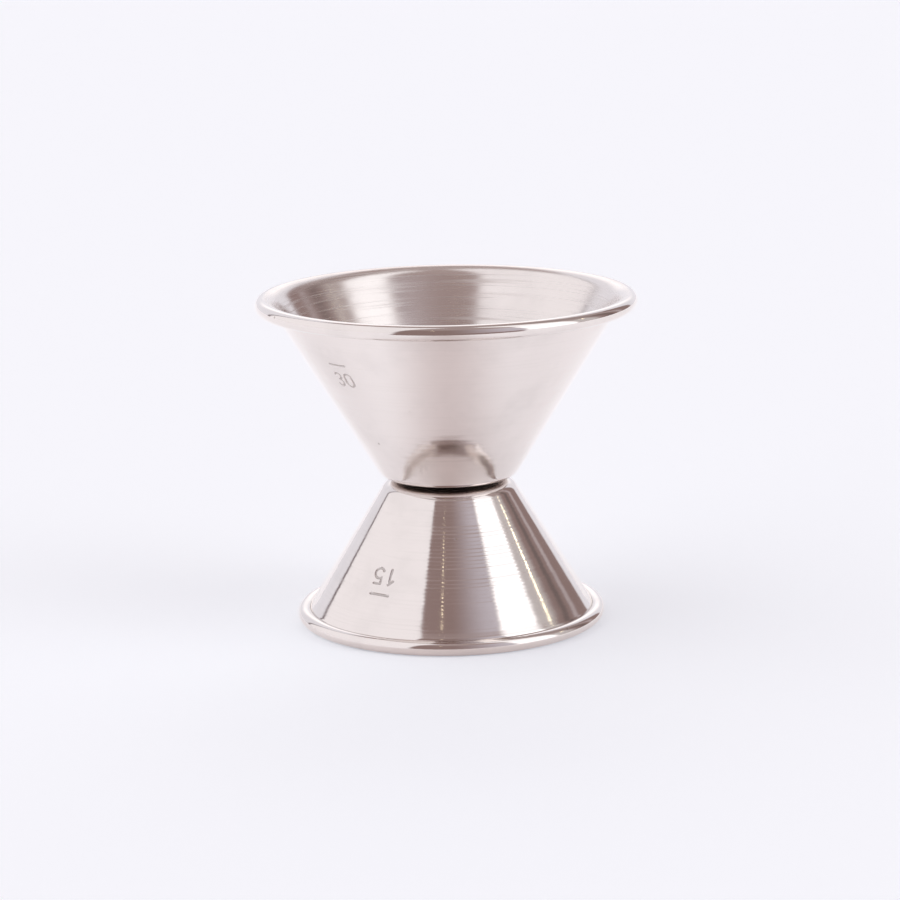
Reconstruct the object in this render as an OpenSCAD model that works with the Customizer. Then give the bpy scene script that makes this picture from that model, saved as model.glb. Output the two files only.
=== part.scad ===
// Double-ended bar jigger: two conical sheet-steel cups, spot-welded floor to floor.
// Millimetres. +Z points up, through the mouth of the larger cup. The origin is on the
// axis, in the plane that the smaller cup's rim rests on.
// Both cups share one profile: a slightly raised floor, a rounded corner, a straight
// conical wall, and a rim curled outwards into a hollow bead that ends just short of
// the wall. Each profile is drawn in its cup's own frame: floor edge at z = 0, mouth up.

/* [Upper cup, 30 ml] */
// Outside diameter of the rim bead
upper_rim_d = 57.2; // [54:0.2:61]
// Height from the floor's edge to the top of the rim
upper_h = 27.8; // [25:0.1:30]
// Slope of the wall, from the axis
upper_wall_angle = 31.5; // [29:0.5:33]
// Outside radius of the corner between floor and wall
upper_corner_r = 2.0; // [1.4:0.1:2.4]
// Distance from the wall's outer face to the centre of the bead
upper_bead_offset = 0.95; // [0.85:0.05:1.05]
// Centreline radius of the bend that leads the wall into the bead
upper_lead_r = 2.3; // [2.2:0.1:3]

/* [Lower cup, 15 ml] */
// Outside diameter of the rim bead
lower_rim_d = 46.8; // [45:0.1:49]
// Height from the floor's edge to the end of the rim
lower_h = 21.45; // [20:0.05:23]
// Slope of the wall, from the axis
lower_wall_angle = 31.7; // [29:0.1:33]
// Outside radius of the corner between floor and wall
lower_corner_r = 2.5; // [1.8:0.1:2.8]
// Distance from the wall's outer face to the centre of the bead
lower_bead_offset = 0.2; // [0.1:0.05:0.3]
// Centreline radius of the inward bend under the bead
lower_lead_r = 1.0; // [0.8:0.1:1.4]

/* [Sheet and rim] */
// Thickness of the sheet
sheet = 0.6; // [0.5:0.05:0.7]
// Outside diameter of the curled bead
bead_d = 2.25; // [2.15:0.05:2.5]
// Gap between the curl's edge and the wall
curl_gap = 0.05; // [0.04:0.01:0.1]
// Width of the flat land worn on the end of each rim
land_w = 0.4; // [0.2:0.1:0.5]

/* [Waist] */
// Gap between the floors at their edges
waist_gap = 0.55; // [0.3:0.05:0.8]
// Radius of the flat weld pad raised on each floor
pad_r = 4.5; // [4.2:0.1:5.5]
// Number of spot welds
weld_count = 3; // [1:1:4]
// Radius of the circle that the spot welds lie on
weld_circle_r = 2.5; // [2:0.1:2.8]
// Diameter of a weld nugget
nugget_d = 2.0; // [1.6:0.1:2.2]
// Thickness of a weld nugget
nugget_t = 0.5; // [0.3:0.05:0.6]
// Diameter of the electrode's dimple above and below a weld
dimple_d = 2.6; // [2.4:0.1:2.8]
// Depth of the electrode's dimple
dimple_depth = 0.1; // [0.05:0.01:0.12]

/* [Capacity marks] */
// Height of a numeral
numeral_h = 2.7; // [2.2:0.1:3.2]
// Width of an engraved stroke
stroke_w = 0.32; // [0.25:0.01:0.4]
// Depth of an engraved stroke
engrave_depth = 0.12; // [0.08:0.01:0.2]
// Height of the upper mark's middle above the floor's edge
upper_mark_z = 18.3; // [15:0.1:20]
// Direction of the upper mark, from +X towards +Y
upper_mark_angle = -136; // [-180:1:180]
// Height of the lower mark's middle above the floor's edge, with that cup mouth up
lower_mark_z = 12.3; // [11:0.1:14]
// Direction of the lower mark, from +X towards +Y
lower_mark_angle = -126; // [-180:1:180]

/* [Hidden] */
$fn = 96;

steel_color = [0.74, 0.71, 0.69];
weld_color = [0.6, 0.57, 0.54];

arc_step = 10;                                // degrees between points on a profile arc
bead_r = bead_d / 2;
bead_mid_r = bead_r - sheet / 2;
land_half_angle = asin(land_w / 2 / bead_r);
bead_rise = bead_r * cos(land_half_angle);    // from the bead's centre to the land
pad_rise = waist_gap / 2;
lower_floor_z = lower_h;
upper_floor_z = lower_h + waist_gap;
weld_z = lower_h + pad_rise;
overrun = 1;                                  // how far a cutter runs past a surface

// A cup as a list of its own dimensions
UPPER = [upper_rim_d / 2, upper_h, upper_wall_angle, upper_corner_r, upper_bead_offset, upper_lead_r];
LOWER = [lower_rim_d / 2, lower_h, lower_wall_angle, lower_corner_r, lower_bead_offset, -lower_lead_r];
function rim_r(cup) = cup[0];
function cup_h(cup) = cup[1];
function slope(cup) = cup[2];
function corner_r(cup) = cup[3];
function bead_offset(cup) = cup[4];
function lead_r(cup) = cup[5];                // below zero where the lead bends inwards

// Unit vector at an angle in the profile's plane
function unit(angle) = [cos(angle), sin(angle)];

// Points along an arc, both ends included
function arc(centre, radius, from, to) =
    let (steps = max(1, ceil(abs(to - from) / arc_step)))
    [for (i = [0 : steps]) centre + radius * unit(from + (to - from) * i / steps)];

// Directions along the wall, towards the rim, and out of it, square to its outer face
function along_wall(cup) = [sin(slope(cup)), cos(slope(cup))];
function out_of_wall(cup) = unit(-slope(cup));

function bead_centre(cup) = [rim_r(cup) - bead_r, cup_h(cup) - bead_rise];

// Radius of the wall's outer face at height z
function wall_r(cup, z) =
    let (foot = bead_centre(cup) - bead_offset(cup) * out_of_wall(cup))
    foot[0] + (z - foot[1]) * tan(slope(cup));

function corner_centre(cup) =
    [wall_r(cup, corner_r(cup)) - corner_r(cup) / cos(slope(cup)), corner_r(cup)];

// From the lead bend's centre to the bead's centre, so that bend and bead are tangent
function lead_to_bead(cup) =
    let (across = bead_offset(cup) + sheet / 2 - lead_r(cup))
    let (apart = lead_r(cup) - bead_mid_r)
    across * out_of_wall(cup) + sqrt(apart * apart - across * across) * along_wall(cup);

// The sheet's centreline bends, each as [centre, radius, first angle, last angle]
function floor_corner(cup) =
    [corner_centre(cup), corner_r(cup) - sheet / 2, -90, -slope(cup)];
function lead_bend(cup) =
    let (step = lead_to_bead(cup))
    let (first = lead_r(cup) > 0 ? 180 - slope(cup) : -slope(cup))
    [bead_centre(cup) - step, abs(lead_r(cup)), first, atan2(step[1], step[0])];
function bead_start(cup) =
    lead_bend(cup)[3] + (lead_r(cup) > 0 ? 0 : 180);
function bead_end(cup) =
    -slope(cup) - acos((curl_gap - bead_offset(cup)) / bead_r);

// One face of the sheet along a bend: side is 1 outside the cup and -1 inside it
function bend_face(bend, side) =
    let (turn = sign(bend[3] - bend[2]))
    arc(bend[0], bend[1] + turn * side * sheet / 2, bend[2], bend[3]);

// The face inside the curl is a plain arc; the other is cut flat by the worn land
function curl_inside(cup) =
    arc(bead_centre(cup), bead_r - sheet, bead_start(cup), bead_end(cup));
function curl_outside(cup) = concat(
    arc(bead_centre(cup), bead_r, bead_start(cup), 90 + land_half_angle),
    arc(bead_centre(cup), bead_r, 90 - land_half_angle, bead_end(cup))
);

function reversed(points) = [for (i = [len(points) - 1 : -1 : 0]) points[i]];

// The whole cross-section: up the outer face, round the curl and down the inner face
function cup_outline(cup) = concat(
    [[0, -pad_rise], [pad_r, -pad_rise]],
    bend_face(floor_corner(cup), 1),
    bend_face(lead_bend(cup), 1),
    curl_inside(cup),
    reversed(curl_outside(cup)),
    reversed(bend_face(lead_bend(cup), -1)),
    reversed(bend_face(floor_corner(cup), -1)),
    [[pad_r, sheet - pad_rise], [0, sheet - pad_rise]]
);

// Places its children at each spot weld
module at_welds() {
    for (i = [0 : weld_count - 1])
        rotate([0, 0, i * 360 / weld_count])
            translate([weld_count > 1 ? weld_circle_r : 0, 0, 0])
                children();
}

// What a weld takes out of a floor: half the nugget below, and the electrode's dimple above
module weld_pockets() {
    at_welds() {
        translate([0, 0, -pad_rise - overrun])
            cylinder(h = overrun + nugget_t / 2, d = nugget_d);
        translate([0, 0, sheet - pad_rise - dimple_depth])
            cylinder(h = overrun, d = dimple_d);
    }
}

// A straight stroke with round ends, from one point to another
module stroke(from, to) {
    run = to - from;
    translate(from)
        rotate([0, 0, atan2(run[1], run[0])])
            translate([0, -stroke_w / 2])
                square([norm(run), stroke_w]);
    for (end = [from, to])
        translate(end)
            circle(d = stroke_w);
}

// A curved stroke with round ends: the part of a ring between two angles, up to 300 apart
module curved_stroke(centre, radius, from, to) {
    reach = 4 * radius;
    cut = (360 - (to - from)) / 2;
    difference() {
        translate(centre)
            circle(r = radius + stroke_w / 2);
        translate(centre)
            circle(r = radius - stroke_w / 2);
        translate(centre)
            polygon([
                [0, 0],
                reach * unit(to),
                reach * unit(to + cut),
                reach * unit(to + 2 * cut)
            ]);
    }
    for (end = [from, to])
        translate(centre + radius * unit(end))
            circle(d = stroke_w);
}

// Numerals stand on y = 0, centred on x = 0
module numeral_0() {
    radius = numeral_h / 4;
    straight = numeral_h - 2 * radius - stroke_w;
    middle = numeral_h / 2;
    for (side = [-1, 1])
        stroke([side * radius, middle - straight / 2], [side * radius, middle + straight / 2]);
    for (side = [-1, 1])
        curved_stroke([0, middle + side * straight / 2], radius, side > 0 ? 0 : 180, side > 0 ? 180 : 360);
}

module numeral_1() {
    flag = numeral_h / 4;
    top = numeral_h - stroke_w / 2;
    stroke([0, stroke_w / 2], [0, top]);
    stroke([-flag, top - flag], [0, top]);
}

module numeral_3() {
    radius = (numeral_h - stroke_w) / 4;
    curved_stroke([0, stroke_w / 2 + radius], radius, -150, 90);
    curved_stroke([0, stroke_w / 2 + 3 * radius], radius, -90, 150);
}

module numeral_5() {
    radius = numeral_h * 0.29;
    top = numeral_h - stroke_w / 2;
    left = -radius * 0.8;
    curved_stroke([0, stroke_w / 2 + radius], radius, -150, 130);
    stroke(
        [0, stroke_w / 2 + radius] + radius * unit(130),
        [left, top]
    );
    stroke([left, top], [radius * 0.8, top]);
}

// Two numerals side by side under a level tick, centred on the origin
module capacity_mark() {
    spacing = numeral_h * 0.76;
    tick_gap = numeral_h * 0.55;
    tick_reach = numeral_h * 0.6;
    total_h = numeral_h + tick_gap;
    translate([0, -total_h / 2]) {
        translate([-spacing / 2, 0])
            children(0);
        translate([spacing / 2, 0])
            children(1);
        stroke([-tick_reach, total_h], [tick_reach, total_h]);
    }
}

// Everything that lies within engrave_depth under the wall's outer face, or outside it
module engraving_layer(cup, z, reach) {
    inset = engrave_depth / cos(slope(cup));
    low = z - reach;
    high = z + reach;
    rotate_extrude()
        polygon([
            [wall_r(cup, low) - inset, low],
            [wall_r(cup, low) + overrun, low],
            [wall_r(cup, high) + overrun, high],
            [wall_r(cup, high) - inset, high]
        ]);
}

// Engraves its 2D children on the wall, upright when the cup stands mouth up
module engraving(cup, z, angle) {
    reach = 1.5 * numeral_h;
    intersection() {
        engraving_layer(cup, z, reach);
        rotate([0, 0, angle])
            translate([wall_r(cup, z), 0, z])
                rotate([0, slope(cup), 0])
                    rotate([90, 0, 90])
                        linear_extrude(height = 2 * overrun, center = true)
                            children();
    }
}

// A cup in its own frame, with its marks as children
module cup_body(cup) {
    difference() {
        rotate_extrude()
            polygon(cup_outline(cup));
        weld_pockets();
        children();
    }
}

module upper_cup() {
    color(steel_color)
        translate([0, 0, upper_floor_z])
            cup_body(UPPER)
                engraving(UPPER, upper_mark_z, upper_mark_angle)
                    capacity_mark() {
                        numeral_3();
                        numeral_0();
                    }
}

// The lower cup is the same thing turned over, so its mark reads with that cup mouth up
module lower_cup() {
    color(steel_color)
        translate([0, 0, lower_floor_z])
            rotate([180, 0, 0])
                cup_body(LOWER)
                    engraving(LOWER, lower_mark_z, -lower_mark_angle)
                        capacity_mark() {
                            numeral_1();
                            numeral_5();
                        }
}

module spot_welds() {
    color(weld_color)
        translate([0, 0, weld_z])
            at_welds()
                cylinder(h = nugget_t, d = nugget_d, center = true);
}

upper_cup();
lower_cup();
spot_welds();
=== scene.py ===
"""Looks for the bar jigger: two spun steel cups, spot-welded floor to floor.

Both cups are rebuilt as finely lathed meshes around the CAD frame, with true round
beads, spinning ripples, engraved capacity marks and the dimples of the weld electrodes.
"""
import math
import random

import bmesh
import bpy
from mathutils import Matrix, Vector


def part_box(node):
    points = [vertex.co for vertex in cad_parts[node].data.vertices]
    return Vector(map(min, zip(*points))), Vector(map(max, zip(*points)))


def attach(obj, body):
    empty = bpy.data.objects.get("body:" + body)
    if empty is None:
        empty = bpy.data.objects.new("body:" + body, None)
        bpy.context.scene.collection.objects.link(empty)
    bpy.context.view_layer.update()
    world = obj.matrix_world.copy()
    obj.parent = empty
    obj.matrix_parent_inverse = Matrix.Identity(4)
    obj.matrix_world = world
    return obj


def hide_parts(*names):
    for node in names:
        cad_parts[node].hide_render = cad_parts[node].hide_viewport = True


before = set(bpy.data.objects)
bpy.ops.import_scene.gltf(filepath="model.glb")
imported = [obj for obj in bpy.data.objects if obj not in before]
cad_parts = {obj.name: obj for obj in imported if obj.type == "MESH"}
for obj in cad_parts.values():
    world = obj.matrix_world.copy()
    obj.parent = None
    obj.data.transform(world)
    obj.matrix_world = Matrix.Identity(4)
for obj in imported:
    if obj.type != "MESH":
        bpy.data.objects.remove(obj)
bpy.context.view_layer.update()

MM = 0.001
DEGREES = 180 / math.pi     # in one radian
UPPER_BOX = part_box("upper_cup")
LOWER_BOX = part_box("lower_cup")
WELD_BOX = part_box("spot_welds")

# ---------------------------------------------------------------- sizes, in millimetres
SHEET = 0.6                 # thickness of the sheet
BEAD_R = 1.125              # outside radius of a curled rim
CURL_GAP = 0.05             # between the curl's edge and the wall
LAND_W = 0.4                # flat worn on the end of each rim
WAIST_GAP = 0.55            # between the floors at their edges
PAD_R = 4.5                 # flat weld pad in the middle of each floor
WELD_COUNT = 3
WELD_CIRCLE_R = 2.5
DIMPLE_R = 1.3
DIMPLE_DEPTH = 0.1
DIMPLE_SLOPE = 0.35 * DIMPLE_R
NUMERAL_H = 2.7
STROKE_W = 0.32
ENGRAVE_DEPTH = 0.12
ENGRAVE_SLOPE = 0.3 * STROKE_W

# Proportions of a capacity mark, in numeral heights
PITCH_H = 0.76              # from one numeral to the next
MARK_H = 1.55               # from the numerals' feet to the tick
TICK_H = 0.6                # half the tick's length
SIDE_H = 0.5                # room kept on each side of the numerals' middles
BOWL_H = 0.29               # radius of the 5's bowl

WELD_Z = (WELD_BOX[0][2] + WELD_BOX[1][2]) / 2 / MM
PAD_RISE = WAIST_GAP / 2
LAND_HALF_ANGLE = math.asin(LAND_W / 2 / BEAD_R)
BEAD_RISE = BEAD_R * math.cos(LAND_HALF_ANGLE)

# Step between profile points: on walls, across a capacity mark, on floors, under floors
WALL_STEP, MARK_STEP, FLOOR_STEP, UNDER_STEP = 0.20, 0.08, 0.24, 0.96
ARC_STEP = math.radians(7)
COLUMNS = 180               # divisions round the axis
MARK_SPLIT = 10             # extra divisions of a column under a capacity mark
ON_AXIS = 1e-6              # a profile point nearer the axis than this is a pole
SHARP_ANGLE = math.radians(40)


def unit(angle):
    return Vector((math.cos(angle), math.sin(angle)))


def smooth(t):
    """From 0 to 1 with level ends as t goes from 0 to 1."""
    t = max(0.0, min(1.0, t))
    return t * t * (3 - 2 * t)


class Cup:
    """One cup in its own frame, in millimetres: floor edge at z = 0, mouth up.

    slope is the wall's angle from the axis, in degrees; bead_offset is how far the wall's
    outer face passes inside the bead's centre. lead_r is the radius of the bend that leads
    the wall into the bead, positive if its centre is outside the wall.
    """

    def __init__(self, box, mouth_z, slope, corner_r, bead_offset, lead_r):
        self.rim_r = (box[1][0] - box[0][0]) / 2 / MM
        self.height = abs(mouth_z / MM - WELD_Z) - PAD_RISE
        self.slope = math.radians(slope)
        self.corner_r = corner_r
        self.bead_offset = bead_offset
        self.lead_r = lead_r
        self.up = 1 if mouth_z / MM > WELD_Z else -1
        self.bead_c = Vector((self.rim_r - BEAD_R, self.height - BEAD_RISE))
        self.out = unit(-self.slope)
        self.along = Vector((math.sin(self.slope), math.cos(self.slope)))

    def wall_r(self, z):
        """Radius of the wall's outer face at height z."""
        foot = self.bead_c - self.bead_offset * self.out
        return foot.x + (z - foot.y) * math.tan(self.slope)

    def to_world(self, r, angle, z):
        """From this cup's frame to the row frame, in metres. The lower cup is turned over about X."""
        x, y = r * math.cos(angle), r * math.sin(angle)
        floor_z = WELD_Z + self.up * PAD_RISE
        return Vector((x, self.up * y, floor_z + self.up * z)) * MM


UPPER = Cup(UPPER_BOX, UPPER_BOX[1][2], slope=31.5, corner_r=2.0, bead_offset=0.95, lead_r=2.3)
LOWER = Cup(LOWER_BOX, LOWER_BOX[0][2], slope=31.7, corner_r=2.5, bead_offset=0.2, lead_r=-1.0)


# ---------------------------------------------------------------- cross-section
def arc(centre, radius, start, end):
    steps = max(2, math.ceil(abs(end - start) / ARC_STEP))
    return [centre + radius * unit(start + (end - start) * i / steps) for i in range(steps + 1)]


def straight(start, end, step):
    """Points between two ends, without the ends."""
    steps = max(1, math.ceil((end - start).length / step))
    return [start.lerp(end, i / steps) for i in range(1, steps)]


def wall_run(start, end, mark_low, mark_high):
    """Points up a wall, closer together between two heights."""
    points, here = [], start.copy()
    direction = (end - start).normalized()
    while True:
        in_mark = mark_low <= here.y <= mark_high
        here = here + direction * (MARK_STEP if in_mark else WALL_STEP)
        if (end - here).dot(direction) < WALL_STEP / 2:
            return points
        points.append(here.copy())


def cross_section(cup, mark):
    """The sheet's outline as (r, z, face) from the axis under the floor to the axis on it."""
    mid = SHEET / 2
    corner = Vector((cup.wall_r(cup.corner_r) - cup.corner_r / math.cos(cup.slope), cup.corner_r))
    across = cup.bead_offset + mid - cup.lead_r
    apart = cup.lead_r - (BEAD_R - mid)
    step = across * cup.out + math.sqrt(apart * apart - across * across) * cup.along
    lead_c = cup.bead_c - step
    lead_start = math.pi - cup.slope if cup.lead_r > 0 else -cup.slope
    lead_end = math.atan2(step.y, step.x)
    turn = 1 if lead_end > lead_start else -1
    curl_start = lead_end + (0 if cup.lead_r > 0 else math.pi)
    curl_end = -cup.slope - math.acos((CURL_GAP - cup.bead_offset) / BEAD_R)
    top = math.pi / 2

    def corner_face(side):
        return arc(corner, cup.corner_r - mid + side * mid, -top, -cup.slope)

    def lead_face(side):
        return arc(lead_c, abs(cup.lead_r) + turn * side * mid, lead_start, lead_end)

    outer_corner, inner_corner = corner_face(1), corner_face(-1)
    outer_lead, inner_lead = lead_face(1), lead_face(-1)
    mark_low, mark_high = mark.z - mark.reach, mark.z + mark.reach
    under = [Vector((0, -PAD_RISE)), Vector((PAD_R, -PAD_RISE))]
    floor = [Vector((0, SHEET - PAD_RISE)), Vector((PAD_R, SHEET - PAD_RISE))]

    runs = [
        ("under", [under[0]] + straight(*under, UNDER_STEP) + [under[1]]),
        ("under", straight(under[1], outer_corner[0], UNDER_STEP)),
        ("corner", outer_corner),
        ("outside", wall_run(outer_corner[-1], outer_lead[0], mark_low, mark_high)),
        ("bead", outer_lead[:-1]),
        ("curl", arc(cup.bead_c, BEAD_R - SHEET, curl_start, curl_end)),
        ("bead", arc(cup.bead_c, BEAD_R, curl_end, top - LAND_HALF_ANGLE)),
        ("bead", arc(cup.bead_c, BEAD_R, top + LAND_HALF_ANGLE, curl_start)),
        ("bead", inner_lead[-2::-1]),
        ("inside", straight(inner_lead[0], inner_corner[-1], WALL_STEP)),
        ("corner", inner_corner[::-1]),
        ("floor", straight(inner_corner[0], floor[1], FLOOR_STEP)),
        ("floor", [floor[1]] + straight(floor[1], floor[0], FLOOR_STEP) + [floor[0]]),
    ]
    return [(p.x, p.y, face) for face, points in runs for p in points]


# ---------------------------------------------------------------- capacity marks
def line(start, end):
    """A straight stroke, as the distance of a point from it."""
    start, end = Vector(start), Vector(end)

    def distance(p):
        run = end - start
        t = max(0.0, min(1.0, (p - start).dot(run) / run.length_squared))
        return (p - start - t * run).length
    return distance


def bow(centre, radius, start, end):
    """A curved stroke between two angles in degrees, counter-clockwise."""
    centre = Vector(centre)
    low, span = math.radians(start), math.radians(end - start)
    tips = [centre + radius * unit(low), centre + radius * unit(low + span)]

    def distance(p):
        offset = p - centre
        turned = (math.atan2(offset.y, offset.x) - low) % (2 * math.pi)
        if turned <= span:
            return abs(offset.length - radius)
        return min((p - tip).length for tip in tips)
    return distance


def moved(strokes, dx, dy):
    shift = Vector((dx, dy))
    return [lambda p, s=s: s(p - shift) for s in strokes]


def numeral_0():
    radius = NUMERAL_H / 4
    half = (NUMERAL_H - 2 * radius - STROKE_W) / 2
    low, high = NUMERAL_H / 2 - half, NUMERAL_H / 2 + half
    return [
        line((-radius, low), (-radius, high)),
        line((radius, low), (radius, high)),
        bow((0, high), radius, 0, 180),
        bow((0, low), radius, 180, 360),
    ]


def numeral_1():
    flag, top = NUMERAL_H / 4, NUMERAL_H - STROKE_W / 2
    return [line((0, STROKE_W / 2), (0, top)), line((-flag, top - flag), (0, top))]


def numeral_3():
    radius = (NUMERAL_H - STROKE_W) / 4
    base = STROKE_W / 2
    return [bow((0, base + radius), radius, -150, 90), bow((0, base + 3 * radius), radius, -90, 150)]


def numeral_5():
    radius, bowl_end = NUMERAL_H * BOWL_H, 130
    top, reach = NUMERAL_H - STROKE_W / 2, radius * 0.8
    centre = Vector((0, STROKE_W / 2 + radius))
    return [
        bow(centre, radius, -150, bowl_end),
        line(centre + radius * unit(math.radians(bowl_end)), (-reach, top)),
        line((-reach, top), (reach, top)),
    ]


class Mark:
    """Two numerals under a level tick, engraved on a cup's wall."""

    def __init__(self, cup, z, angle, left, right):
        spacing, total = NUMERAL_H * PITCH_H, NUMERAL_H * MARK_H
        tick = NUMERAL_H * TICK_H
        self.strokes = (
            moved(left, -spacing / 2, -total / 2)
            + moved(right, spacing / 2, -total / 2)
            + [line((-tick, total / 2), (tick, total / 2))]
        )
        self.z, self.angle = z, math.radians(angle)
        self.reach = total / 2 + 2 * STROKE_W
        self.half_angle = (spacing / 2 + NUMERAL_H * SIDE_H) / cup.wall_r(z)
        cos, sin = math.cos(self.angle), math.sin(self.angle)
        self.centre = Vector((cup.wall_r(z) * cos, cup.wall_r(z) * sin, z))
        self.right = Vector((-sin, cos, 0))
        self.up = Vector((math.sin(cup.slope) * cos, math.sin(cup.slope) * sin, math.cos(cup.slope)))

    def depth(self, point):
        """How deep the engraving is at a point of the wall, in the cup's frame."""
        offset = point - self.centre
        flat = Vector((offset.dot(self.right), offset.dot(self.up)))
        nearest = min(stroke(flat) for stroke in self.strokes)
        return ENGRAVE_DEPTH * smooth((STROKE_W / 2 + ENGRAVE_SLOPE / 2 - nearest) / ENGRAVE_SLOPE)


UPPER_MARK = Mark(UPPER, z=18.3, angle=-136, left=numeral_3(), right=numeral_0())
LOWER_MARK = Mark(LOWER, z=12.3, angle=126, left=numeral_1(), right=numeral_5())


# ---------------------------------------------------------------- surface relief
# Spinning rings, in mm: least and most pitch, least and most height, how many
RING_SETS = (((0.7, 1.1), (0.0002, 0.0005), 6), ((2.0, 5.0), (0.001, 0.003), 4))
# Out of round: numbers of lobes round the axis, and the least and most height of a lobe
# in mm, before it is divided by their number
LOBES, LOBE_HEIGHT = (2, 3, 4, 5, 7), (0.004, 0.012)
FLARE_RUN = 1.45            # the last of a wall before its bead bends out over this height


class Relief:
    """Small departures of a spun wall from its true shape, along the face's normal, in mm.

    strength multiplies the rings, and flare is how far the wall bends out at wall_top.
    """

    def __init__(self, seed, height, strength, flare, wall_top):
        rng = random.Random(seed)
        self.height, self.strength = height, strength
        self.flare, self.flare_from = flare, wall_top - FLARE_RUN
        self.rings = [
            (rng.uniform(*pitch), rng.uniform(*swing), rng.uniform(0, 2 * math.pi))
            for pitch, swing, count in RING_SETS
            for _ in range(count)
        ]
        self.lobes = [
            (lobe, rng.uniform(*LOBE_HEIGHT) / lobe, rng.uniform(0, 2 * math.pi))
            for lobe in LOBES
        ]

    def at(self, angle, z):
        ring = sum(swing * math.sin(2 * math.pi * z / pitch + phase) for pitch, swing, phase in self.rings)
        lobe = sum(swing * math.cos(n * angle + phase) for n, swing, phase in self.lobes)
        t = max(0.0, (z - self.flare_from) / FLARE_RUN)
        return self.strength * ring + lobe * z / self.height + self.flare * t * t


def dimple(x, y, up):
    """How deep the electrodes' dimples are at a point of the floor."""
    depth = 0.0
    for i in range(WELD_COUNT):
        turn = up * i * 2 * math.pi / WELD_COUNT
        away = math.hypot(x - WELD_CIRCLE_R * math.cos(turn), y - WELD_CIRCLE_R * math.sin(turn))
        depth = max(depth, DIMPLE_DEPTH * smooth((DIMPLE_R - away) / DIMPLE_SLOPE))
    return depth


# ---------------------------------------------------------------- lathed cup
def normal_at(section, i):
    """Outward normal of the cross-section at a point, by its neighbours."""
    before = section[max(i - 1, 0)]
    after = section[min(i + 1, len(section) - 1)]
    dr, dz = after[0] - before[0], after[1] - before[1]
    size = math.hypot(dr, dz) or 1.0
    return dz / size, -dr / size


def join_rings(bm, rings):
    """Faces between each ring and the next, where a ring is columns of vertices or one pole."""
    def cell(ring, j):
        """A ring's vertices from column j to the next one, both included."""
        return ring[j] + [ring[(j + 1) % COLUMNS][0]]

    for low, high in zip(rings, rings[1:]):
        for j in range(COLUMNS):
            if len(low) == 1 or len(high) == 1:
                pole, ring = (low[0], high) if len(low) == 1 else (high[0], low)
                a, b = ring[j][0], ring[(j + 1) % COLUMNS][0]
                bm.faces.new((pole, b, a) if len(low) == 1 else (pole, a, b))
                continue
            bottom, top = cell(low, j), cell(high, j)
            if len(bottom) == len(top):
                for k in range(len(bottom) - 1):
                    bm.faces.new((bottom[k], bottom[k + 1], top[k + 1], top[k]))
            else:
                bm.faces.new(bottom + top[::-1])


def add_object(name, bm):
    mesh = bpy.data.meshes.new(name)
    bm.to_mesh(mesh)
    bm.free()
    made = bpy.data.objects.new(name, mesh)
    bpy.context.scene.collection.objects.link(made)
    return made


def build_cup(name, cup, mark, seed, strength=1.0, flare=0.0):
    section = cross_section(cup, mark)
    wall_top = max(z for r, z, face in section if face == "outside")
    relief = Relief(seed, cup.height, strength, flare, wall_top)
    coarse = [2 * math.pi * j / COLUMNS for j in range(COLUMNS)]
    turn = mark.angle % (2 * math.pi)
    first = int((turn - mark.half_angle) / (2 * math.pi) * COLUMNS)
    last = int((turn + mark.half_angle) / (2 * math.pi) * COLUMNS) + 1
    bm = bmesh.new()
    groove = bm.verts.layers.float.new("groove")

    def vertex(i, angle, fine):
        r, z, face = section[i]
        nr, nz = normal_at(section, i)
        cut = mark.depth(Vector((r * math.cos(angle), r * math.sin(angle), z))) if fine else 0.0
        shift = -cut
        if face in ("outside", "inside"):
            shift += relief.at(angle, z) * (1 if face == "outside" else -1)
        r, z = r + nr * shift, z + nz * shift
        if face == "floor":
            z -= dimple(r * math.cos(angle), r * math.sin(angle), cup.up)
        made = bm.verts.new(cup.to_world(r, angle, z))
        made[groove] = cut / ENGRAVE_DEPTH
        return made

    rings = []
    for i, (r, z, face) in enumerate(section):
        if r < ON_AXIS:
            rings.append([bm.verts.new(cup.to_world(0, 0, z))])
            continue
        in_mark = face == "outside" and abs(z - mark.z) <= mark.reach
        ring = []
        for j in range(COLUMNS):
            split = MARK_SPLIT if in_mark and first <= j < last else 1
            fine = in_mark and first <= j <= last
            ring.append([
                vertex(i, coarse[j] + 2 * math.pi * k / COLUMNS / split, fine) for k in range(split)
            ])
        rings.append(ring)
    join_rings(bm, rings)
    bmesh.ops.recalc_face_normals(bm, faces=bm.faces)
    piece = add_object(name, bm)
    piece.data.shade_smooth()
    piece.data.set_sharp_from_angle(angle=SHARP_ANGLE)
    return piece


# ---------------------------------------------------------------- node helpers
# A Mix node's sockets when it mixes colours: factor and the two colours, and the result
MIX_INPUTS, MIX_OUTPUT = (0, 6, 7), 2


def rgba(value):
    return (*value, 1) if isinstance(value, tuple) else value


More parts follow.
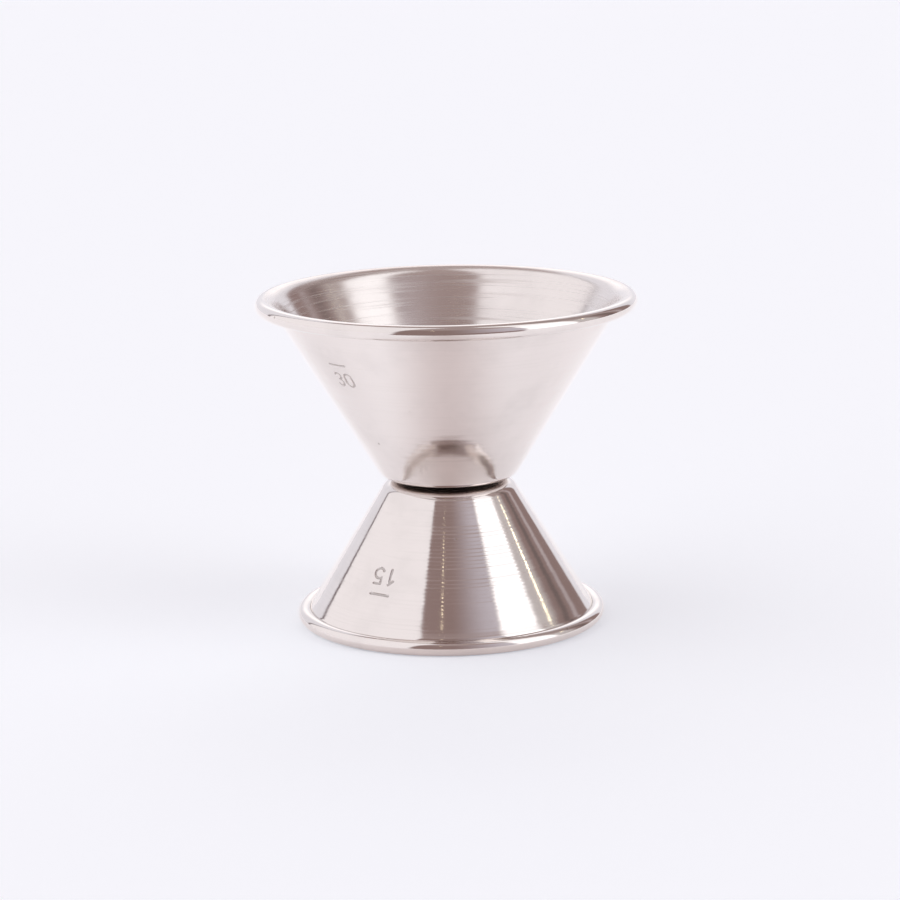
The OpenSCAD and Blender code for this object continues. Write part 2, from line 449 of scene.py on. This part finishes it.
class Nodes:
    """Short names for making and joining shader nodes."""

    def __init__(self, tree):
        self.tree = tree
        tree.nodes.clear()

    def add(self, kind, **settings):
        node = self.tree.nodes.new(kind)
        for key, value in settings.items():
            setattr(node, key, value)
        return node

    def link(self, source, target):
        self.tree.links.new(source, target)

    def put(self, socket, value):
        if isinstance(value, bpy.types.NodeSocket):
            self.link(value, socket)
        else:
            socket.default_value = value

    def maths(self, operation, *values):
        node = self.add("ShaderNodeMath", operation=operation)
        for socket, value in zip(node.inputs, values):
            self.put(socket, value)
        return node.outputs[0]

    def plus(self, a, b):
        return self.maths("ADD", a, b)

    def times(self, a, b):
        return self.maths("MULTIPLY", a, b)

    def length(self, x, y):
        return self.maths("SQRT", self.plus(self.times(x, x), self.times(y, y)))

    def azimuth(self, x, y):
        """Direction in degrees, from 0 in front of the object and rising towards its right."""
        return self.times(self.maths("ARCTAN2", x, self.times(y, -1.0)), DEGREES)

    def vector(self, x, y, z):
        node = self.add("ShaderNodeCombineXYZ")
        for socket, value in zip(node.inputs, (x, y, z)):
            self.put(socket, value)
        return node.outputs[0]

    def parts(self, vector):
        """The x, y and z of a vector."""
        node = self.add("ShaderNodeSeparateXYZ")
        self.link(vector, node.inputs[0])
        return node.outputs

    def ramp(self, value, low, high, to_low=0.0, to_high=1.0):
        """Smoothly from to_low to to_high as value goes from low to high."""
        node = self.add("ShaderNodeMapRange", interpolation_type="SMOOTHSTEP")
        for socket, number in zip(node.inputs, (value, low, high, to_low, to_high)):
            self.put(socket, number)
        return node.outputs[0]

    def band(self, value, low, high, soft_low, soft_high):
        """One between low and high, fading to zero over each end."""
        rise = self.ramp(value, low - soft_low, low + soft_low)
        fall = self.ramp(value, high - soft_high, high + soft_high, 1.0, 0.0)
        return self.times(rise, fall)

    def mix(self, factor, a, b, blend="MIX"):
        """Between two colours, each given as a socket or as (r, g, b)."""
        node = self.add("ShaderNodeMix", data_type="RGBA", blend_type=blend)
        for place, value in zip(MIX_INPUTS, (factor, a, b)):
            self.put(node.inputs[place], rgba(value))
        return node.outputs[MIX_OUTPUT]

    def noise(self, vector, scale, detail=2.0, roughness=0.5):
        node = self.add("ShaderNodeTexNoise")
        self.put(node.inputs["Vector"], vector)
        node.inputs["Scale"].default_value = scale
        node.inputs["Detail"].default_value = detail
        node.inputs["Roughness"].default_value = roughness
        return node.outputs[0]

    def emission(self, colour):
        node = self.add("ShaderNodeEmission")
        self.put(node.inputs[0], rgba(colour))
        return node.outputs[0]

    def mix_shader(self, factor, a, b):
        node = self.add("ShaderNodeMixShader")
        for socket, value in zip(node.inputs, (factor, a, b)):
            self.put(socket, value)
        return node.outputs[0]


def new_material(name):
    material = bpy.data.materials.new(name)
    material.use_nodes = True
    return material, Nodes(material.node_tree)


# ---------------------------------------------------------------- steel
STEEL_TINT = (0.80, 0.75, 0.725)
WELD_TINT = (0.6, 0.57, 0.53)
SMUDGE_SHADE = 0.94         # a smudge's colour against the clean steel's
# What else changes the colour: its tint, how much of it, and the roughness it adds
LINE_TINT, LINE_AMOUNT = (0.60, 0.56, 0.52), 0.10
GROOVE_TINT, GROOVE_AMOUNT, GROOVE_ROUGH = (0.16, 0.13, 0.12), 0.45, 0.2
# Painted shade: the faces in the narrow gap between the cups are tinted darker brown
GAP_PAINTED_SHADE_TINT, GAP_PAINTED_SHADE_AMOUNT, HIDDEN_ROUGH = (0.52, 0.44, 0.40), 0.8, 0.22
PIT_TINT, PIT_AMOUNT = (0.30, 0.25, 0.22), 0.5
ANISOTROPY, SPIN_TURN = 0.5, 0.25   # reflections drawn out across the spin lines

# Distance along a wall grows with r and with z in these parts, its slope's sine and cosine
RUN_PER_R, RUN_PER_Z = 0.524, 0.852
# Spin lines: pitch in mm, how fast they change round the axis, detail of the noise
FINE_LINES, BROAD_LINES = (0.30, 1.3, 3.0), (1.7, 0.8, 2.0)
SMUDGE_NOISE = (90.0, 4.0, 0.6)
# Where in its noise each effect starts and is full
SMUDGE_COLOUR, SMUDGE_ROUGH, SMUDGE_ADDS = (0.42, 0.68), (0.45, 0.75), 0.03
LINE_COLOUR, LINE_ROUGH = (0.45, 0.8), (0.48, 0.8)
BROAD_ROUGH = (0.3, 0.7, 0.8, 1.25)
BROAD_HEIGHT = 1.5          # height of the broad lines against the fine ones

COMB_PITCH = 0.59           # mm between tool marks
# The patch where they are deepest: its direction to the right of the front, its side edges
# as cosines of the turn from there, and its lowest and highest place away from the waist
# with the softness of both ends
COMB_TURN = math.radians(14)
COMB_PATCH = (0.82, 0.97)
COMB_LIFT = (5 * MM, 15 * MM, 2 * MM, 3 * MM)
COMB_ELSEWHERE = 0.18       # strength outside the patch
# Pits: cells in a metre, bottom and edge in parts of a cell, depth against the fine lines
PIT_SCALE, PIT_SIZE, PIT_DEPTH = 160.0, (0.02, 0.045), 8.0
INSIDE_TURN = 0.1           # softness of the change from outside to inside
# A face is hidden if it is this level and this near the welds' middle height
HIDDEN_LEVEL, HIDDEN_LIFT = (0.9, 0.98), (0.25 * MM, 0.4 * MM)
AXIS_GUARD = 1e-5           # keeps the division by the radius off zero


def steel(name, outside, inside, ripple, comb=0.0, tint=STEEL_TINT):
    """Spun stainless sheet.

    outside and inside are (roughness, added roughness of the spin lines); ripple is the
    height of the spin lines in mm, and comb adds even tool marks in patches.
    """
    material, n = new_material(name)
    place = n.add("ShaderNodeTexCoord").outputs["Object"]
    x, y, z = n.parts(place)
    radius = n.length(x, y)
    safe = n.maths("MAXIMUM", radius, AXIS_GUARD)
    around_x, around_y = n.maths("DIVIDE", x, safe), n.maths("DIVIDE", y, safe)
    lift = n.maths("ABSOLUTE", n.maths("SUBTRACT", z, WELD_Z * MM))
    run = n.plus(n.times(radius, RUN_PER_R), n.times(lift, RUN_PER_Z))

    # Which side of the sheet: the inside faces the axis
    normal = n.add("ShaderNodeNewGeometry").outputs["Normal"]
    facing = n.add("ShaderNodeVectorMath", operation="DOT_PRODUCT")
    n.link(normal, facing.inputs[0])
    n.link(n.vector(around_x, around_y, 0.0), facing.inputs[1])
    is_inside = n.ramp(facing.outputs["Value"], -INSIDE_TURN, INSIDE_TURN, 1.0, 0.0)

    def pick(of_outside, of_inside):
        return n.plus(of_outside, n.times(is_inside, of_inside - of_outside))

    def lines(pitch, sweep, detail):
        """Noise drawn out round the axis."""
        along = n.times(run, 1 / (pitch * MM))
        return n.noise(n.vector(n.times(around_x, sweep), n.times(around_y, sweep), along), 1.0, detail)

    fine, broad = lines(*FINE_LINES), lines(*BROAD_LINES)
    smudge = n.noise(place, *SMUDGE_NOISE)
    # Tool marks, deepest in one patch in front
    wave = n.maths("SINE", n.times(run, 2 * math.pi / (COMB_PITCH * MM)))
    toward = n.maths("SUBTRACT", n.times(around_x, math.sin(COMB_TURN)),
                     n.times(around_y, math.cos(COMB_TURN)))
    patch = n.times(n.ramp(toward, *COMB_PATCH), n.band(lift, *COMB_LIFT))
    patch = n.plus(COMB_ELSEWHERE, n.times(patch, 1 - COMB_ELSEWHERE))
    marks = n.times(n.times(wave, patch), comb)
    # The hidden face towards the other cup is left rougher and painted darker brown: painted shade in the
    # gap between the cups
    level = n.maths("ABSOLUTE", n.parts(normal)[2])
    hidden = n.times(n.ramp(level, *HIDDEN_LEVEL), n.ramp(lift, *HIDDEN_LIFT, 1.0, 0.0))
    groove = n.add("ShaderNodeAttribute", attribute_name="groove").outputs["Fac"]
    cells = n.add("ShaderNodeTexVoronoi")
    n.link(place, cells.inputs["Vector"])
    cells.inputs["Scale"].default_value = PIT_SCALE
    pit = n.ramp(cells.outputs["Distance"], *PIT_SIZE, 1.0, 0.0)

    shader = n.add("ShaderNodeBsdfPrincipled")
    shader.inputs["Metallic"].default_value = 1.0
    shader.inputs["Anisotropic"].default_value = ANISOTROPY
    shader.inputs["Anisotropic Rotation"].default_value = SPIN_TURN
    tangent = n.add("ShaderNodeTangent", direction_type="RADIAL", axis="Z")
    n.link(tangent.outputs[0], shader.inputs["Tangent"])

    colour = n.mix(n.ramp(smudge, *SMUDGE_COLOUR), tint, tuple(part * SMUDGE_SHADE for part in tint))
    colour = n.mix(n.times(n.ramp(fine, *LINE_COLOUR), LINE_AMOUNT), colour, LINE_TINT)
    colour = n.mix(n.times(groove, GROOVE_AMOUNT), colour, GROOVE_TINT)
    # painted shade on the faces in the gap between the cups
    colour = n.mix(n.times(hidden, GAP_PAINTED_SHADE_AMOUNT), colour, GAP_PAINTED_SHADE_TINT)
    colour = n.mix(n.times(pit, PIT_AMOUNT), colour, PIT_TINT)
    n.put(shader.inputs["Base Color"], colour)

    even = n.times(pick(outside[0], inside[0]), n.ramp(broad, *BROAD_ROUGH))
    lined = n.times(n.ramp(fine, *LINE_ROUGH), pick(outside[1], inside[1]))
    worn = n.times(n.ramp(smudge, *SMUDGE_ROUGH), SMUDGE_ADDS)
    dull = n.maths("MAXIMUM", n.times(groove, GROOVE_ROUGH), n.times(hidden, HIDDEN_ROUGH))
    n.put(shader.inputs["Roughness"], n.plus(n.plus(even, lined), n.plus(worn, dull)))

    bump = n.add("ShaderNodeBump")
    bump.inputs["Strength"].default_value = 1.0
    bump.inputs["Distance"].default_value = ripple * MM
    height = n.plus(n.plus(fine, marks), n.times(broad, BROAD_HEIGHT))
    n.put(bump.inputs["Height"], n.maths("SUBTRACT", height, n.times(pit, PIT_DEPTH)))
    n.link(bump.outputs[0], shader.inputs["Normal"])
    n.link(shader.outputs[0], n.add("ShaderNodeOutputMaterial").inputs[0])
    return material


# ---------------------------------------------------------------- studio
FLOOR_HALF = 4.0            # half the floor's side, in metres
PAPER_END, PAPER_END_SOFT = -0.15, 0.004    # y where the paper ends in reflections
ROOM_FLOOR = (-31, 45, 2, 2)    # directions in which the room shows beyond it, and their softness
PAPER = (0.91, 0.91, 0.91)
PAPER_GLOW = (0.215, 0.25, 0.29)
# In reflections the paper is painted darker straight in front and behind than at the sides: a painted
# shadow in the middle and painted light at the sides
PAPER_PAINTED_SHADOW = (0.90, 0.82, 0.79)
PAPER_PAINTED_LIGHT = (1.14, 1.12, 1.10)
PAPER_SIDES_FROM = 36       # mm from the middle
# Stripes on the disc under the lower cup: radians of their sine in a metre, their slant, and
# where in the sine they start and are full
STRIPES, STRIPES_SLANT, STRIPES_EDGE = 210.0, 0.4, (-0.5, 0.7)

DARK = (0.31, 0.225, 0.215)
DARK_HIGH = (0.44, 0.355, 0.345)
SWEEP = (0.91, 0.90, 0.96)
SWEEP_TOP = (1.4, 1.36, 1.38)
CREAM = (1.06, 1.03, 1.06)
WALL_EDGE = (0.22, 0.18, 0.19)
SOFTBOX, SOFTBOX_UPPER = (1.6, 1.6, 1.64), (1.22, 1.21, 1.24)
BACKDROP = (0.915, 0.905, 0.96)     # all that the camera sees beyond the floor

# What stands round the object, from the left over the front to the right: from and to
# in degrees, softness of the two edges, colour. A later panel covers an earlier one.
PANELS_LOW = (
    (-129.5, -31, 1, 1.5, CREAM),               # white wall
    (-132.5, -129.5, 1, 1, WALL_EDGE),
    (-31, 143, 2, 1.5, DARK),                   # dim room
    (22, 48, 24, 2, (0.62, 0.58, 0.64)),        # light spilt beside the softbox
    (48.5, 85, 2.5, 3, SOFTBOX),
    (85, 103, 3, 5, (0.64, 0.60, 0.60)),        # the softbox's dim side
    (112, 118, 2, 2, (0.20, 0.155, 0.15)),      # darker stripe
    (123.5, 128.5, 1.5, 2, (0.52, 0.45, 0.46)),  # stand
)
PANELS_HIGH = (
    (-129.5, -31, 1, 1.5, CREAM),
    (-132.5, -129.5, 1, 1, WALL_EDGE),
    (-31, 143, 3, 1.5, DARK_HIGH),
    (53.5, 89, 4, 4, SOFTBOX_UPPER),
    (112, 119, 3, 3, (0.28, 0.23, 0.22)),
)
# The higher panels start above this height, in degrees, which falls towards the sides
HIGH_FROM, HIGH_SOFT, HIGH_FALL, HIGH_SIDE = 52.0, 0.8, 0.0022, 90
SOFTBOX_TOP, SOFTBOX_TOP_SOFT = 80, 3
STRAIGHT_BACK = (152, 170)      # degrees off the front, from the sweep's side to its middle
SWEEP_BRIGHTENS = (8, 20)       # in its middle the sweep grows brighter between these heights
CEILING_FROM, CEILING_SOFT = 50, 4      # the sweep ends at a dull ceiling
# Small warm lamps: direction, half width and half height in degrees, brightness
LAMPS = ((-10, 46.2, 0.7, 0.4, 5.0), (97, 29, 0.7, 1.3, 5.5))
LAMP_TINT, LAMP_SOFT = (1.0, 0.90, 0.62), 0.4

LENS, SENSOR, CLIP_START = 120, 36, 0.01
CAMERA_AT = (0.0002, -0.443, 0.124)
CAMERA_DOWN, CAMERA_ROLL = math.radians(12.5), math.radians(-1.0)


def studio_world():
    """A pale sweep behind, a white wall on the left, a dim room in front and a softbox on the right."""
    world = bpy.data.worlds.new("studio")
    bpy.context.scene.world = world
    world.use_nodes = True
    n = Nodes(world.node_tree)
    x, y, z = n.parts(n.add("ShaderNodeTexCoord").outputs["Generated"])
    around = n.azimuth(x, y)
    height = n.times(n.maths("ARCSINE", z), DEGREES)
    off_front = n.maths("ABSOLUTE", around)

    bright = n.times(n.ramp(height, *SWEEP_BRIGHTENS), n.ramp(off_front, *STRAIGHT_BACK))
    behind = n.mix(bright, SWEEP, SWEEP_TOP)
    ceiling = n.ramp(height, CEILING_FROM - CEILING_SOFT, CEILING_FROM + CEILING_SOFT)
    behind = n.mix(ceiling, behind, DARK_HIGH)

    def ring(panels):
        colour = behind
        for *span, shade in panels:
            amount = n.band(around, *span)
            if shade in (SOFTBOX, SOFTBOX_UPPER):
                top = (SOFTBOX_TOP - SOFTBOX_TOP_SOFT, SOFTBOX_TOP + SOFTBOX_TOP_SOFT)
                amount = n.times(amount, n.ramp(height, *top, 1.0, 0.0))
            colour = n.mix(amount, colour, shade)
        return colour

    side = n.maths("MINIMUM", off_front, HIGH_SIDE)
    lifted = n.plus(height, n.times(n.times(side, side), HIGH_FALL))
    is_high = n.ramp(lifted, HIGH_FROM - HIGH_SOFT, HIGH_FROM + HIGH_SOFT)
    colour = n.mix(is_high, ring(PANELS_LOW), ring(PANELS_HIGH))
    for turn, lift, half_w, half_h, power in LAMPS:
        lamp = n.times(n.band(around, turn - half_w, turn + half_w, LAMP_SOFT, LAMP_SOFT),
                       n.band(height, lift - half_h, lift + half_h, LAMP_SOFT, LAMP_SOFT))
        colour = n.mix(lamp, colour, tuple(power * part for part in LAMP_TINT))
    seen = n.add("ShaderNodeLightPath").outputs["Is Camera Ray"]
    background = n.add("ShaderNodeBackground")
    n.put(background.inputs[0], n.mix(seen, colour, BACKDROP))
    n.link(background.outputs[0], n.add("ShaderNodeOutputWorld").inputs[0])


def floor_material():
    """White paper to the eye; in reflections it ends a little way in front of the object.

    From below it is clear, and the disc that the lower cup covers lights that cup's inside.
    """
    material, n = new_material("floor")
    x, y, z = n.parts(n.add("ShaderNodeTexCoord").outputs["Object"])
    ray = n.add("ShaderNodeLightPath").outputs
    mirrored = ray["Is Glossy Ray"]
    # In reflections only: painted shadow on the paper near the middle, painted light towards the sides
    sideways = n.ramp(n.maths("ABSOLUTE", x), 0.0, PAPER_SIDES_FROM * MM)
    shade = n.mix(mirrored, (1, 1, 1), n.mix(sideways, PAPER_PAINTED_SHADOW, PAPER_PAINTED_LIGHT))

    matt = n.add("ShaderNodeBsdfDiffuse")
    n.put(matt.inputs[0], n.mix(1.0, PAPER, shade, "MULTIPLY"))
    paper = n.add("ShaderNodeAddShader")
    n.link(matt.outputs[0], paper.inputs[0])
    n.link(n.emission(n.mix(1.0, PAPER_GLOW, shade, "MULTIPLY")), paper.inputs[1])

    beyond = n.ramp(y, PAPER_END - PAPER_END_SOFT, PAPER_END + PAPER_END_SOFT, 1.0, 0.0)
    beyond = n.times(beyond, n.band(n.azimuth(x, y), *ROOM_FLOOR))
    surface = n.mix_shader(n.times(beyond, mirrored), paper.outputs[0], n.emission(DARK))

    covered = n.maths("LESS_THAN", n.length(x, y), (LOWER.rim_r - 2 * BEAD_R) * MM)
    wave = n.maths("SINE", n.times(n.plus(x, n.times(y, STRIPES_SLANT)), STRIPES))
    disc = n.emission(n.mix(n.ramp(wave, *STRIPES_EDGE), DARK, CREAM))
    surface = n.mix_shader(covered, surface, disc)

    clear = n.add("ShaderNodeBsdfTransparent").outputs[0]
    below = n.times(n.add("ShaderNodeNewGeometry").outputs["Backfacing"], ray["Is Camera Ray"])
    surface = n.mix_shader(below, surface, clear)
    n.link(surface, n.add("ShaderNodeOutputMaterial").inputs[0])
    return material


def studio_floor():
    bm = bmesh.new()
    bm.faces.new([
        bm.verts.new((side_x * FLOOR_HALF, side_y * FLOOR_HALF, LOWER_BOX[0][2]))
        for side_x, side_y in ((-1, -1), (1, -1), (1, 1), (-1, 1))
    ])
    floor = add_object("floor", bm)
    floor.data.materials.append(floor_material())


def add_camera():
    """Level with a seated viewer's eye: long lens, looking a little down, rolled by a degree."""
    data = bpy.data.cameras.new("camera")
    data.lens = LENS
    data.sensor_width = SENSOR
    data.clip_start = CLIP_START
    camera = bpy.data.objects.new("camera", data)
    camera.matrix_world = (
        Matrix.Translation(CAMERA_AT)
        @ Matrix.Rotation(math.pi / 2 - CAMERA_DOWN, 4, "X")
        @ Matrix.Rotation(CAMERA_ROLL, 4, "Z")
    )
    bpy.context.scene.collection.objects.link(camera)
    bpy.context.scene.camera = camera


# ---------------------------------------------------------------- assembly
add_camera()
studio_world()
studio_floor()
bpy.context.scene.view_settings.view_transform = "Standard"

upper = build_cup("upper_cup_sheet", UPPER, UPPER_MARK, seed=3, strength=0.35)
upper.data.materials.append(steel("upper_steel", outside=(0.07, 0.04), inside=(0.20, 0.22), ripple=0.0006))
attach(upper, "root")
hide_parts("upper_cup")

lower = build_cup("lower_cup_sheet", LOWER, LOWER_MARK, seed=8, flare=0.042)
lower.data.materials.append(
    steel("lower_steel", outside=(0.085, 0.07), inside=(0.14, 0.12), ripple=0.0032, comb=0.8)
)
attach(lower, "root")
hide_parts("lower_cup")

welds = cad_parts["spot_welds"]
for material_slot in welds.material_slots:
    material_slot.material = steel(
        "weld_steel", outside=(0.35, 0.1), inside=(0.35, 0.1), ripple=0.002, tint=WELD_TINT
    )
